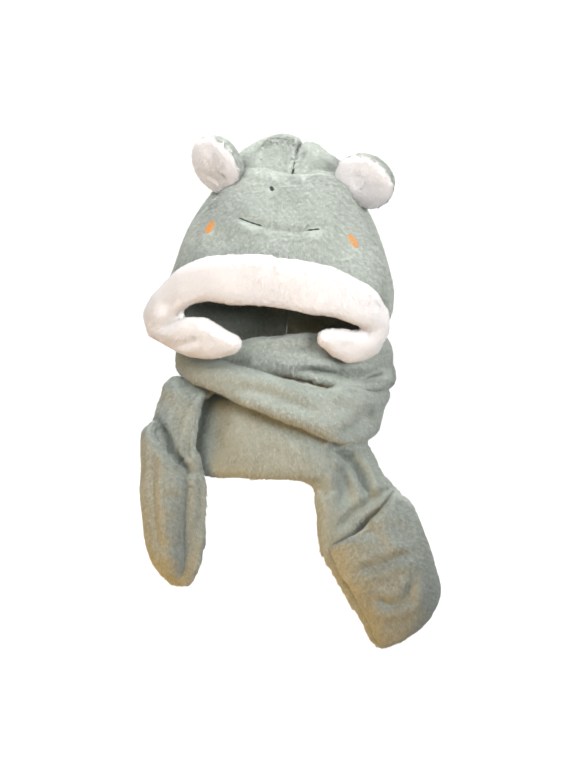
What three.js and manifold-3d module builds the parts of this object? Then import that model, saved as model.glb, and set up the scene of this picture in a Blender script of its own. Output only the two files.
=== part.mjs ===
// Plush animal hood with a scarf sewn to its neck line, as worn: millimetres, +Z up, front towards -Y.
// The origin is the inside of the crown, where the hood is carried when it is worn.
import * as THREE from "three";
import Module from "manifold-3d";

const wasm = await Module();
wasm.setup();

// Hood sizes
const hoodHalfWidth = 110;
const hoodFore = 120;
const hoodAft = 98;
const hoodRise = 43;
const hoodDrop = 175;
const hoodWall = 9;
const hoodRoll = THREE.MathUtils.degToRad(5.8);
const hoodYaw = THREE.MathUtils.degToRad(-6.3);
const hubDepth = 5;
const hubLevel = -60;
const browRoundness = 1.6;
const leftCrownRoundness = 1.0;
const rightCrownRoundness = 3.0;
const crownSeamDip = 5;
const crownSeamWidth = 9;
const crownBulge = 0.12;
const cuffTuck = 6;
const cuffPadding = 16;
const hemDepth = 18;
const hemLean = 0.8;
const sewnGap = 0.3;

// Ear sizes
const earRadius = 29;
const earFaceThick = 8;
const earBackThick = 16;
const earDimple = 5;
const earDimpleTurn = 0.8;
const leftEarAzimuth = -36;
const leftEarDip = 24;
const rightEarAzimuth = -20;
const rightEarDip = 30;
const earCutDepth = 45;

// Face mark sizes
const nostrilWidth = 6;
const nostrilHeight = 4;
const nostrilSpacing = 22;
const nostrilLevel = -5;
const mouthHalfLength = 39;
const mouthLineWidth = 2.4;
const mouthLevel = -43;
const mouthSmile = 5;
const cheekWidth = 10;
const cheekHeight = 15;
const cheekInset = 41;
const cheekHalfSpacing = hoodHalfWidth - cheekInset;
const cheekLevel = -49;
const cheekSlant = -0.5;
const threadThick = 1.2;

// Scarf sizes
const collarInset = 10;
const collarEase = 2;
const collarOverlap = 18;
const wrapHalfWidth = hoodHalfWidth - collarInset;
const wrapFore = hoodFore - 2 * collarInset;
const wrapAft = hoodAft + collarEase;
const collarTop = hoodDrop - collarOverlap;
const wrapHeight = 100;
const scarfPadding = 16;
const leftTailLength = 166;
const rightTailLength = 172;
const pocketWall = 7;
const leftPocketPuff = 20;
const rightPocketPuff = 24;
const pocketReach = 0.92;
const pocketSeatGap = 0.5;
const pocketFootInset = 8;

// Mesh fineness
const seamRows = 12;
const faceColumns = 20;
const crownColumns = 11;
const hemRows = 5;
const bandStep = 13;
const pocketRows = 12;
const pocketColumns = 10;
const earSides = 18;
const earRings = [0, 0.35, 0.65, 0.88, 1];
const mouthSteps = 18;

// A padded band's outline: across it from -1 to 1, and through it from -1 inner face to 1 outer face
const bandOutline = [
  [-1, 0], [-0.9, 1], [-0.6, 1], [-0.25, 1], [0.1, 1], [0.45, 1], [0.8, 1],
  [1, 0], [0.8, -1], [0.3, -1], [-0.3, -1], [-0.8, -1],
];
const foldWidth = 0.3;

// Tables hold shares of the sizes above. A row of a seam or profile line is a point on it.
const seamLine = table(["at", "x", "y", "z"], [
  [0.00, 0.00, -0.30, 0.05],
  [0.13, 0.25, -0.33, 0.23],
  [0.26, 0.43, -0.31, 0.14],
  [0.39, 0.54, -0.32, -0.03],
  [0.52, 0.64, -0.32, -0.14],
  [0.67, 0.77, -0.31, -0.26],
  [0.82, 0.89, -0.30, -0.40],
  [1.00, 0.97, -0.32, -0.59],
]);
const faceProfile = table(["at", "y", "z"], [
  [0.00, -0.30, 0.05],
  [0.11, -0.37, 0.21],
  [0.26, -0.48, 0.12],
  [0.42, -0.59, -0.03],
  [0.57, -0.70, -0.11],
  [0.71, -0.78, -0.20],
  [0.82, -0.83, -0.27],
  [0.92, -0.87, -0.33],
  [1.00, -0.88, -0.38],
]);
const crownProfile = table(["at", "y", "z"], [
  [0.00, -0.30, 0.05],
  [0.06, -0.20, 0.50],
  [0.15, 0.00, 0.94],
  [0.22, 0.22, 1.06],
  [0.32, 0.51, 0.79],
  [0.42, 0.76, 0.23],
  [0.55, 0.92, -0.16],
  [0.70, 0.99, -0.43],
  [0.82, 0.94, -0.66],
  [0.92, 0.82, -0.84],
  [1.00, 0.78, -1.00],
]);
const crownFrontBelowSeam = {
  left: table(["at", "x", "y", "z"], [
    [0.00, 0.97, -0.32, -0.59],
    [0.35, 1.04, -0.48, -0.71],
    [0.70, 1.00, -0.51, -0.83],
    [0.85, 0.81, -0.44, -0.90],
    [1.00, 0.72, -0.36, -0.99],
  ]),
  right: table(["at", "x", "y", "z"], [
    [0.00, 0.97, -0.32, -0.59],
    [0.35, 0.97, -0.41, -0.72],
    [0.70, 0.85, -0.35, -0.83],
    [0.85, 0.67, -0.18, -0.90],
    [1.00, 0.66, -0.16, -0.99],
  ]),
};

// The cuff's rows go from its left tip over the brow to its right tip: the sewn edge, the rim, the
// thickness as a share of the cuff's padding.
const cuffRows = table(["sewnX", "sewnY", "sewnZ", "rimX", "rimY", "rimZ", "thick"], [
  [-0.27, -0.930, -0.925, -0.25, -0.930, -0.880, 0.56],
  [-0.47, -0.905, -0.980, -0.40, -0.930, -0.830, 0.81],
  [-0.67, -0.850, -0.985, -0.55, -0.890, -0.785, 0.88],
  [-0.92, -0.730, -0.945, -0.69, -0.840, -0.785, 0.94],
  [-1.08, -0.630, -0.905, -0.77, -0.800, -0.785, 0.94],
  [-1.13, -0.560, -0.810, -0.80, -0.785, -0.775, 1.00],
  [-1.02, -0.560, -0.660, -0.79, -0.790, -0.745, 1.00],
  [-0.87, -0.670, -0.545, -0.73, -0.820, -0.710, 1.00],
  [-0.66, -0.790, -0.455, -0.60, -0.850, -0.680, 1.00],
  [-0.33, -0.900, -0.400, -0.33, -0.920, -0.670, 1.00],
  [0.00, -0.935, -0.385, 0.00, -0.950, -0.670, 1.00],
  [0.33, -0.900, -0.400, 0.33, -0.920, -0.670, 1.00],
  [0.64, -0.795, -0.445, 0.61, -0.850, -0.690, 1.00],
  [0.87, -0.650, -0.545, 0.78, -0.745, -0.725, 1.00],
  [0.98, -0.510, -0.665, 0.80, -0.680, -0.755, 1.00],
  [0.99, -0.480, -0.800, 0.80, -0.680, -0.765, 0.94],
  [0.92, -0.530, -0.890, 0.75, -0.710, -0.770, 0.88],
  [0.78, -0.650, -0.930, 0.67, -0.750, -0.770, 0.81],
  [0.62, -0.770, -0.915, 0.57, -0.805, -0.770, 0.75],
  [0.47, -0.850, -0.840, 0.47, -0.850, -0.795, 0.56],
]);

// Ears: side of the hood, place of the centre, azimuth and dip of the white face in degrees.
const ears = table(["side", "x", "y", "z", "azimuth", "dip"], [
  [-1, -0.665, -0.38, 0.20, leftEarAzimuth, leftEarDip],
  [1, 0.645, -0.34, 0.19, rightEarAzimuth, rightEarDip],
]);

// Scarf rows go from the centre back to the tail: the edge that is upper round the neck, the lower
// edge, the thickness as a share of the scarf's padding, and a lengthwise fold as a share of the
// thickness, with its place.
const wrapColumns = ["upX", "upY", "upZ", "lowX", "lowY", "lowZ", "thick", "fold", "foldAt"];
const leftWrap = table(wrapColumns, [
  [-0.09, 0.86, 0.00, -0.09, 0.87, 0.45, 0.94, 0.0, 0.0],
  [0.05, 0.86, 0.00, 0.05, 0.87, 0.45, 0.94, 0.0, 0.0],
  [0.36, 0.78, 0.00, 0.37, 0.79, 0.45, 0.94, 0.0, 0.0],
  [0.66, 0.56, 0.00, 0.69, 0.57, 0.46, 1.00, 0.1, 0.1],
  [0.83, 0.24, 0.00, 0.89, 0.24, 0.48, 1.06, 0.2, 0.1],
  [0.85, -0.08, 0.00, 0.92, -0.08, 0.49, 1.12, 0.3, 0.1],
  [0.77, -0.36, -0.01, 0.83, -0.38, 0.47, 1.12, 0.4, 0.1],
  [0.58, -0.57, -0.05, 0.62, -0.60, 0.41, 1.12, 0.5, 0.1],
  [0.32, -0.71, -0.10, 0.35, -0.75, 0.35, 1.12, 0.3, 0.3],
  [0.02, -0.77, -0.12, 0.03, -0.81, 0.29, 1.12, 0.1, 0.4],
  [-0.28, -0.75, -0.09, -0.27, -0.80, 0.27, 1.06, 0.0, 0.0],
  [-0.54, -0.62, -0.02, -0.50, -0.72, 0.31, 0.94, 0.0, 0.0],
  [-0.77, -0.44, 0.11, -0.68, -0.64, 0.40, 0.81, 0.0, 0.0],
  [-0.95, -0.36, 0.37, -0.75, -0.68, 0.51, 0.81, 0.0, 0.0],
  [-1.20, -0.39, 0.42, -0.79, -0.77, 0.61, 0.88, 0.0, 0.0],
  [-1.36, -0.45, 0.58, -0.82, -0.81, 0.74, 0.88, 0.0, 0.0],
]);
const rightWrap = table(wrapColumns, [
  [-0.09, 0.86, 0.00, -0.09, 0.87, 0.45, 0.94, 0.0, 0.0],
  [-0.23, 0.86, 0.00, -0.23, 0.87, 0.45, 0.94, 0.0, 0.0],
  [-0.54, 0.78, 0.00, -0.55, 0.79, 0.44, 0.94, 0.0, 0.0],
  [-0.84, 0.56, 0.00, -0.87, 0.57, 0.43, 0.94, 0.0, 0.0],
  [-1.02, 0.23, 0.01, -1.07, 0.23, 0.37, 0.94, 0.0, 0.0],
  [-1.06, -0.12, 0.03, -1.11, -0.13, 0.33, 0.94, 0.0, 0.0],
  [-0.99, -0.46, 0.07, -1.04, -0.48, 0.34, 1.00, 0.0, 0.0],
  [-0.80, -0.77, 0.12, -0.85, -0.80, 0.39, 1.06, 0.0, 0.0],
  [-0.50, -0.97, 0.17, -0.52, -1.01, 0.52, 1.12, 0.0, 0.0],
  [-0.16, -1.05, 0.24, -0.17, -1.09, 0.66, 1.12, 0.0, 0.0],
  [0.18, -1.03, 0.33, 0.18, -1.07, 0.81, 1.12, 0.0, 0.0],
  [0.48, -0.90, 0.42, 0.45, -0.92, 0.92, 1.06, 0.3, -0.4],
  [0.71, -0.64, 0.50, 0.61, -0.64, 0.95, 1.00, 0.5, -0.3],
  [0.82, -0.30, 0.52, 0.71, -0.29, 0.96, 1.00, 0.3, -0.3],
  [0.84, 0.08, 0.51, 0.75, 0.08, 0.95, 1.00, 0.0, 0.0],
  [0.75, 0.43, 0.50, 0.69, 0.43, 0.95, 0.94, 0.0, 0.0],
  [0.50, 0.74, 0.49, 0.48, 0.73, 0.96, 0.94, 0.0, 0.0],
  [0.06, 0.86, 0.48, 0.06, 0.85, 0.98, 0.94, 0.0, 0.0],
  [-0.40, 0.80, 0.47, -0.40, 0.79, 1.01, 0.94, 0.0, 0.0],
  [-0.77, 0.56, 0.46, -0.76, 0.55, 1.05, 0.94, 0.0, 0.0],
  [-0.95, 0.22, 0.45, -0.92, 0.22, 1.09, 0.94, 0.0, 0.0],
  [-0.94, -0.12, 0.45, -0.92, -0.12, 1.12, 0.94, 0.0, 0.0],
  [-0.82, -0.38, 0.50, -0.84, -0.39, 1.17, 0.94, 0.0, 0.0],
  [-0.67, -0.59, 0.50, -0.72, -0.62, 1.22, 1.00, 0.0, 0.0],
  [-0.46, -0.77, 0.48, -0.51, -0.80, 1.27, 1.12, 0.0, 0.0],
  [-0.12, -0.83, 0.55, -0.20, -0.87, 1.30, 1.25, 0.0, 0.0],
  [0.20, -0.81, 0.65, 0.05, -0.86, 1.31, 1.25, 0.0, 0.0],
  [0.44, -0.72, 0.70, 0.15, -0.84, 1.35, 1.12, 0.0, 0.0],
  [0.57, -0.56, 0.82, 0.19, -0.82, 1.41, 1.00, 0.2, 0.0],
  [0.72, -0.47, 0.98, 0.19, -0.82, 1.50, 0.88, 0.5, 0.1],
]);

// Tail rows: edges in shares of the wrap's half width and fore reach, level as a share of the tail's
// length below the last wrap row.
const leftTail = table(wrapColumns, [
  [-1.44, -0.53, 0.14, -0.85, -0.79, 0.20, 0.75, 0.0, 0.0],
  [-1.48, -0.58, 0.38, -0.85, -0.78, 0.42, 0.62, 0.0, 0.0],
  [-1.49, -0.62, 0.62, -0.87, -0.76, 0.66, 0.62, 0.0, 0.0],
  [-1.41, -0.66, 0.85, -0.92, -0.74, 0.89, 0.62, 0.0, 0.0],
  [-1.24, -0.68, 1.02, -1.04, -0.72, 1.03, 0.56, 0.0, 0.0],
]);
const rightTail = table(wrapColumns, [
  [0.90, -0.46, 0.03, 0.18, -0.82, 0.18, 0.81, 0.5, 0.1],
  [1.09, -0.50, 0.14, 0.18, -0.80, 0.35, 0.75, 0.3, 0.1],
  [1.25, -0.52, 0.34, 0.26, -0.77, 0.52, 0.62, 0.0, 0.0],
  [1.38, -0.54, 0.51, 0.40, -0.75, 0.67, 0.62, 0.0, 0.0],
  [1.44, -0.56, 0.67, 0.56, -0.73, 0.81, 0.62, 0.0, 0.0],
  [1.34, -0.60, 0.83, 0.68, -0.70, 0.95, 0.62, 0.0, 0.0],
  [1.12, -0.64, 0.98, 0.83, -0.68, 1.03, 0.56, 0.0, 0.0],
]);

// Pockets: how far up from the tip the mouth starts at the tail's outer edge and at the inner seam, as
// shares of the tail, where that seam runs across the tail (-1 outer edge to 1 inner edge), and how far
// the pocket puffs out in mm.
const pockets = table(["side", "mouthOuter", "mouthSeam", "seamAt", "puff"], [
  [-1, 0.92, 0.66, 0.32, leftPocketPuff],
  [1, 0.82, 0.66, 0.74, rightPocketPuff],
]);

const plush = { roughness: 0.95, metalness: 0 };
const sagePlush = new THREE.MeshStandardMaterial({ color: 0xa9b8a8, ...plush });
const whitePlush = new THREE.MeshStandardMaterial({ color: 0xf3ecea, ...plush });
const orangeThread = new THREE.MeshStandardMaterial({ color: 0xe8a04a, roughness: 0.6, metalness: 0 });
const darkThread = new THREE.MeshStandardMaterial({ color: 0x2e3a3c, roughness: 0.6, metalness: 0 });

function table(columns, rows) {
  return rows.map((row) => Object.fromEntries(columns.map((name, index) => [name, row[index]])));
}

// A column of a table, read smoothly between its rows
function smoothValue(rows, keys, column, key) {
  let index = 0;
  while (index < rows.length - 2 && key > keys[index + 1]) index += 1;
  const before = Math.max(index - 1, 0);
  const after = Math.min(index + 2, rows.length - 1);
  const span = keys[index + 1] - keys[index];
  const share = (key - keys[index]) / span;
  const start = rows[index][column];
  const end = rows[index + 1][column];
  const startSlope = (end - rows[before][column]) / (keys[index + 1] - keys[before]);
  const endSlope = (rows[after][column] - start) / (keys[after] - keys[index]);
  const square = share * share;
  const cube = square * share;
  return (2 * cube - 3 * square + 1) * start + (cube - 2 * square + share) * span * startSlope
    + (3 * square - 2 * cube) * end + (cube - square) * span * endSlope;
}

function readLine(rows, at) {
  const keys = rows.map((row) => row.at);
  const columns = Object.keys(rows[0]).filter((name) => name !== "at");
  return Object.fromEntries(columns.map((name) => [name, smoothValue(rows, keys, name, at)]));
}

// Depth of a soft dent, 1 at its middle
function dent(distance, width) {
  return Math.exp(-((distance / width) ** 2));
}

function hoodSpot(x, y, z) {
  return new THREE.Vector3(
    x * hoodHalfWidth,
    y * (y < 0 ? hoodFore : hoodAft),
    z * (z < 0 ? hoodDrop : hoodRise),
  );
}

// Direction from a spot on the hood straight into its wall
function inward(spot) {
  const level = Math.min(spot.z, hubLevel);
  return new THREE.Vector3(-spot.x, hubDepth - spot.y, level - spot.z).normalize();
}

// Triangles of a solid, with its shared corners merged
class SolidMesh {
  constructor() {
    this.points = [];
    this.lookup = new Map();
    this.faces = [];
  }

  // Corners in one cell of a micrometre grid are the same; its shift keeps round sizes off the cells' edges
  corner(point) {
    const key = [point.x, point.y, point.z].map((value) => Math.round(value * 1000 + 0.3)).join();
    if (!this.lookup.has(key)) {
      this.lookup.set(key, this.points.length);
      this.points.push(point.clone());
    }
    return this.lookup.get(key);
  }

  triangle(a, b, c) {
    const face = [this.corner(a), this.corner(b), this.corner(c)];
    if (new Set(face).size === 3) this.faces.push(face);
  }

  quad(a, b, c, d) {
    this.triangle(a, b, c);
    this.triangle(a, c, d);
  }

  volume() {
    return this.faces.reduce((sum, [a, b, c]) => {
      const cross = this.points[b].clone().cross(this.points[c]);
      return sum + this.points[a].dot(cross) / 6;
    }, 0);
  }

  outwardFaces() {
    return this.volume() < 0 ? this.faces.map(([a, b, c]) => [a, c, b]) : this.faces;
  }

  manifold() {
    return new wasm.Manifold(new wasm.Mesh({
      numProp: 3,
      vertProperties: new Float32Array(this.points.flatMap((point) => point.toArray())),
      triVerts: new Uint32Array(this.outwardFaces().flat()),
    }));
  }

  geometry() {
    const geometry = new THREE.BufferGeometry();
    const corners = this.points.flatMap((point) => point.toArray());
    geometry.setAttribute("position", new THREE.Float32BufferAttribute(corners, 3));
    geometry.setIndex(this.outwardFaces().flat());
    return geometry;
  }
}

function geometryOf(manifold) {
  const mesh = manifold.getMesh();
  const geometry = new THREE.BufferGeometry();
  geometry.setAttribute("position", new THREE.Float32BufferAttribute(mesh.vertProperties, 3));
  geometry.setIndex(Array.from(mesh.triVerts));
  return geometry;
}

// A thick sheet between two grids of points, closed along its four edges
function sheetSolid(outer, inner) {
  const solid = new SolidMesh();
  const lastRow = outer.length - 1;
  const lastColumn = outer[0].length - 1;
  for (let row = 0; row < lastRow; row += 1) {
    for (let column = 0; column < lastColumn; column += 1) {
      const next = column + 1;
      const below = row + 1;
      solid.quad(outer[row][column], outer[row][next], outer[below][next], outer[below][column]);
      solid.quad(inner[row][column], inner[below][column], inner[below][next], inner[row][next]);
    }
    for (const [column, first, second] of [[0, inner, outer], [lastColumn, outer, inner]]) {
      solid.quad(first[row][column], second[row][column], second[row + 1][column], first[row + 1][column]);
    }
  }
  for (let column = 0; column < lastColumn; column += 1) {
    for (const [row, first, second] of [[0, outer, inner], [lastRow, inner, outer]]) {
      solid.quad(first[row][column + 1], first[row][column], second[row][column], second[row][column + 1]);
    }
  }
  return solid;
}

function offsetGrid(grid, depth) {
  return grid.map((row) => row.map((spot) => spot.clone().addScaledVector(inward(spot), depth)));
}

// Front gore
function faceSpot(at, across) {
  const seam = readLine(seamLine, at);
  const front = readLine(faceProfile, at);
  const angle = across * Math.PI / 2;
  const bow = Math.cos(angle);
  const seamSpot = hoodSpot(seam.x, seam.y, seam.z);
  const frontSpot = hoodSpot(0, front.y, front.z);
  return new THREE.Vector3(
    seamSpot.x * Math.sin(angle),
    THREE.MathUtils.lerp(seamSpot.y, frontSpot.y, bow) - sewnGap / 2,
    THREE.MathUtils.lerp(seamSpot.z, frontSpot.z, bow ** browRoundness),
  );
}

function faceGrid() {
  const rows = [];
  for (let row = 0; row <= seamRows; row += 1) {
    const spots = [];
    for (let column = 0; column <= faceColumns; column += 1) {
      spots.push(faceSpot(row / seamRows, 2 * column / faceColumns - 1));
    }
    rows.push(spots);
  }
  // The hem turns in behind the cuff, and forward towards its ends
  const seamReach = rows[seamRows][faceColumns].x;
  for (const share of [0.3, 1]) {
    rows.push(rows[seamRows].map((spot) => {
      const nearEnd = (spot.x / seamReach) ** 12;
      const moved = spot.clone().addScaledVector(inward(spot), cuffTuck * share ** 0.2);
      moved.z -= hemDepth * share;
      moved.y -= hemDepth * share * hemLean * nearEnd;
      return moved;
    }));
  }
  return rows;
}

// Back gores
function crownSpot(side, front, back, turn) {
  const square = turn * turn;
  const cube = square * turn;
  const reach = (back.y - front.y) * Math.PI / 2;
  const width = front.x * Math.PI / 2;
  const fromFront = 2 * cube - 3 * square + 1;
  const fromBack = 3 * square - 2 * cube;
  const x = fromFront * front.x + (cube - 2 * square + turn) * crownBulge * reach
    - (cube - square) * width;
  const y = fromFront * front.y + fromBack * back.y + (cube - 2 * square + turn) * reach;
  const roundness = side < 0 ? leftCrownRoundness : rightCrownRoundness;
  const rise = Math.sin(turn * Math.PI / 2) ** roundness;
  const spot = new THREE.Vector3(x, y, THREE.MathUtils.lerp(front.z, back.z, rise));
  // The seam's dip starts behind the top seam, where both gores meet the front one
  const behind = Math.min(1, (back.y - front.y) / (3 * crownSeamWidth));
  spot.addScaledVector(inward(spot), crownSeamDip * dent(spot.x, crownSeamWidth) * behind);
  spot.x = side * (Math.max(spot.x, 0) + sewnGap / 2);
  spot.y += sewnGap / 2;
  return spot;
}

function crownGrid(side) {
  const belowSeam = side < 0 ? crownFrontBelowSeam.left : crownFrontBelowSeam.right;
  const rows = [];
  const rowCount = seamRows + hemRows;
  for (let row = 0; row <= rowCount; row += 1) {
    const seam = row <= seamRows
      ? readLine(seamLine, row / seamRows)
      : readLine(belowSeam, (row - seamRows) / hemRows);
    const profile = readLine(crownProfile, row / rowCount);
    const front = hoodSpot(seam.x, seam.y, seam.z);
    const back = hoodSpot(0, profile.y, profile.z);
    const spots = [];
    for (let column = 0; column <= crownColumns; column += 1) {
      spots.push(crownSpot(side, front, back, column / crownColumns));
    }
    rows.push(spots);
  }
  return rows;
}

// A padded band that follows rows of two edges
class Band {
  constructor(rows, facing) {
    this.facing = facing;
    this.rows = rows.map((row) => ({
      firstX: row.first.x, firstY: row.first.y, firstZ: row.first.z,
      secondX: row.second.x, secondY: row.second.y, secondZ: row.second.z,
      thick: row.thick, fold: row.fold ?? 0, foldAt: row.foldAt ?? 0,
    }));
    this.keys = [0];
    for (let index = 1; index < rows.length; index += 1) {
      const middle = rows[index].first.clone().add(rows[index].second);
      const last = rows[index - 1].first.clone().add(rows[index - 1].second);
      this.keys.push(this.keys[index - 1] + middle.distanceTo(last) / 2);
    }
    this.length = this.keys[this.keys.length - 1];
  }

  value(column, distance) {
    return smoothValue(this.rows, this.keys, column, distance);
  }

  edge(name, distance) {
    const columns = ["X", "Y", "Z"].map((axis) => this.value(name + axis, distance));
    return new THREE.Vector3(...columns);
  }

  middle(distance) {
    return this.edge("first", distance).add(this.edge("second", distance)).multiplyScalar(0.5);
  }

  section(distance) {
    const first = this.edge("first", distance);
    const second = this.edge("second", distance);
    const step = bandStep / 10;
    const ahead = this.middle(Math.min(distance + step, this.length));
    const along = ahead.sub(this.middle(Math.max(distance - step, 0))).normalize();
    const across = second.clone().sub(first).normalize();
    const normal = along.cross(across).normalize().multiplyScalar(this.facing);
    return {
      first, second, normal,
      thick: this.value("thick", distance),
      fold: this.value("fold", distance),
      foldAt: this.value("foldAt", distance),
    };
  }

  // A spot across the band (-1 to 1) and through it (-1 inner face to 1 outer face)
  spot(section, across, through) {
    const middle = section.first.clone().lerp(section.second, (across + 1) / 2);
    const round = Math.sqrt(Math.max(0, 1 - Math.abs(across) ** 3));
    const crease = through > 0 ? section.fold * dent(across - section.foldAt, foldWidth) : 0;
    return middle.addScaledVector(section.normal, section.thick * (through * round / 2 - crease / 2));
  }

  solid() {
    const steps = Math.round(this.length / bandStep);
    const rings = [];
    for (let step = 0; step <= steps; step += 1) {
      const section = this.section(this.length * step / steps);
      rings.push(bandOutline.map(([across, through]) => this.spot(section, across, through)));
    }
    const solid = new SolidMesh();
    for (let step = 0; step < steps; step += 1) {
      rings[step].forEach((spot, index) => {
        const next = (index + 1) % bandOutline.length;
        solid.quad(spot, rings[step][next], rings[step + 1][next], rings[step + 1][index]);
      });
    }
    closeEnd(solid, rings[0], true);
    closeEnd(solid, rings[steps], false);
    return solid;
  }
}

function closeEnd(solid, ring, isStart) {
  const centre = ring.reduce((sum, spot) => sum.add(spot), new THREE.Vector3()).divideScalar(ring.length);
  ring.forEach((spot, index) => {
    const next = ring[(index + 1) % ring.length];
    if (isStart) solid.triangle(centre, next, spot);
    else solid.triangle(centre, spot, next);
  });
}

function cuffBand() {
  return new Band(cuffRows.map((row) => ({
    first: hoodSpot(row.sewnX, row.sewnY, row.sewnZ),
    second: hoodSpot(row.rimX, row.rimY, row.rimZ),
    thick: row.thick * cuffPadding,
  })), -1);
}

function wrapSpot(x, y, z) {
  return new THREE.Vector3(
    x * wrapHalfWidth,
    y * (y < 0 ? wrapFore : wrapAft),
    -collarTop - z * wrapHeight,
  );
}

function scarfBand(side, wrap, tail, tailLength) {
  const lastWrap = wrap[wrap.length - 1];
  const tailTop = -collarTop - (lastWrap.upZ + lastWrap.lowZ) / 2 * wrapHeight;
  const tailSpot = (x, y, z) => {
    const spot = wrapSpot(x, y, 0);
    spot.z = tailTop - z * tailLength;
    return spot;
  };
  const rows = [
    ...wrap.map((row) => ({ ...row, place: wrapSpot })),
    ...tail.map((row) => ({ ...row, place: tailSpot })),
  ].map((row) => ({
    ...row,
    first: row.place(row.upX, row.upY, row.upZ),
    second: row.place(row.lowX, row.lowY, row.lowZ),
    thick: row.thick * scarfPadding,
  }));
  rows[0].first.x -= side * sewnGap / 2;
  rows[0].second.x -= side * sewnGap / 2;
  return new Band(rows, -side);
}

// A pocket's front, whose sides and foot lie on the tail and whose mouth is open
function pocketSolid(band, pocket, tailLength) {
  const outer = [];
  const inner = [];
  for (let row = 0; row <= pocketRows; row += 1) {
    const outerRow = [];
    const innerRow = [];
    const down = row / pocketRows;
    for (let column = 0; column <= pocketColumns; column += 1) {
      const share = column / pocketColumns;
      const across = THREE.MathUtils.lerp(-pocketReach, pocket.seamAt, share);
      const mouth = THREE.MathUtils.lerp(pocket.mouthOuter, pocket.mouthSeam, share);
      const fromTip = mouth * (1 - down) * tailLength + pocketFootInset;
      const section = band.section(Math.max(band.length - fromTip, 0));
      const seat = band.spot(section, across, 1).addScaledVector(section.normal, pocketSeatGap);
      const open = Math.sqrt(Math.max(0, 1 - (2 * share - 1) ** 2));
      const foot = Math.sqrt(Math.max(0, 1 - down ** 4));
      const lift = pocket.puff * open * foot;
      innerRow.push(seat.clone().addScaledVector(section.normal, lift));
      outerRow.push(seat.clone().addScaledVector(section.normal, lift + pocketWall));
    }
    outer.push(outerRow);
    inner.push(innerRow);
  }
  return sheetSolid(outer, inner);
}

// Half of an ear: a puffed round pad with a flat back
function earHalf(ear, thick, forward) {
  const solid = new SolidMesh();
  const azimuth = THREE.MathUtils.degToRad(ear.azimuth);
  const dip = THREE.MathUtils.degToRad(ear.dip);
  const normal = new THREE.Vector3(
    Math.sin(azimuth) * Math.cos(dip),
    -Math.cos(azimuth) * Math.cos(dip),
    -Math.sin(dip),
  );
  const right = new THREE.Vector3(0, 0, 1).cross(normal).normalize().negate();
  const up = right.clone().cross(normal);
  const centre = hoodSpot(ear.x, ear.y, ear.z);
  const spotAt = (share, side, height) => {
    const angle = side / earSides * Math.PI * 2;
    return centre.clone()
      .addScaledVector(right, Math.cos(angle) * share * earRadius)
      .addScaledVector(up, Math.sin(angle) * share * earRadius)
      .addScaledVector(normal, height);
  };
  // The white face is dimpled towards the hood
  const tipAngle = ear.side > 0 ? earDimpleTurn : Math.PI - earDimpleTurn;
  const lift = (share, side) => {
    const angle = side / earSides * Math.PI * 2;
    const baseward = share * Math.max(0, -Math.cos(angle - tipAngle));
    const dimple = forward > 0 ? earDimple * dent(baseward - 0.5, 0.3) * (1 - share) : 0;
    return thick * Math.sqrt(Math.max(0, 1 - share ** 3)) - dimple;
  };
  const gap = forward * sewnGap / 2;
  const puffed = (share, side) => spotAt(share, side, gap + forward * lift(share, side));
  for (let ring = 0; ring < earRings.length - 1; ring += 1) {
    const [near, far] = [earRings[ring], earRings[ring + 1]];
    for (let side = 0; side < earSides; side += 1) {
      solid.quad(puffed(near, side), puffed(near, side + 1), puffed(far, side + 1), puffed(far, side));
    }
  }
  for (let side = 0; side < earSides; side += 1) {
    solid.triangle(spotAt(0, side, gap), spotAt(1, side, gap), spotAt(1, side + 1, gap));
  }
  return solid;
}

// A thin stitched patch on the front gore, round its own centre
function stitchedPatch(outlineSpots, centreSpot) {
  const place = ({ x, z }) => faceAt(x, z);
  const rim = outlineSpots.map(place);
  const middle = place(centreSpot);
  const raise = (spot, height) => spot.clone().addScaledVector(inward(spot), -height);
  const solid = new SolidMesh();
  rim.forEach((spot, index) => {
    const next = rim[(index + 1) % rim.length];
    const [low, high] = [sewnGap, sewnGap + threadThick];
    solid.triangle(raise(middle, high), raise(spot, high), raise(next, high));
    solid.triangle(raise(middle, low), raise(next, low), raise(spot, low));
    solid.quad(raise(spot, high), raise(spot, low), raise(next, low), raise(next, high));
  });
  return solid;
}

// The spot of the front gore that lies at a width and a level
function faceAt(x, z) {
  let at = 0.5;
  let across = 0;
  const nudge = 0.01;
  for (let pass = 0; pass < 40; pass += 1) {
    const here = faceSpot(at, across);
    const wide = faceSpot(at, across + nudge);
    const low = faceSpot(at + nudge, across);
    across += (x - here.x) / (wide.x - here.x) * nudge / 2;
    at += (z - here.z) / (low.z - here.z) * nudge / 2;
    at = THREE.MathUtils.clamp(at, 0.12, 0.98);
  }
  return faceSpot(at, across);
}

function ovalOutline(centre, width, height, slant, count) {
  return Array.from({ length: count }, (unused, index) => {
    const angle = index / count * Math.PI * 2;
    const x = Math.cos(angle) * width / 2;
    const z = Math.sin(angle) * height / 2;
    return {
      x: centre.x + x * Math.cos(slant) + z * Math.sin(slant),
      z: centre.z - x * Math.sin(slant) + z * Math.cos(slant),
    };
  });
}

function nostril(side) {
  const centre = { x: side * nostrilSpacing / 2, z: nostrilLevel };
  return stitchedPatch(ovalOutline(centre, nostrilWidth, nostrilHeight, 0, 8), centre);
}

function cheek(side) {
  const centre = { x: side * cheekHalfSpacing, z: cheekLevel };
  return stitchedPatch(ovalOutline(centre, cheekWidth, cheekHeight, side * cheekSlant, 12), centre);
}

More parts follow.
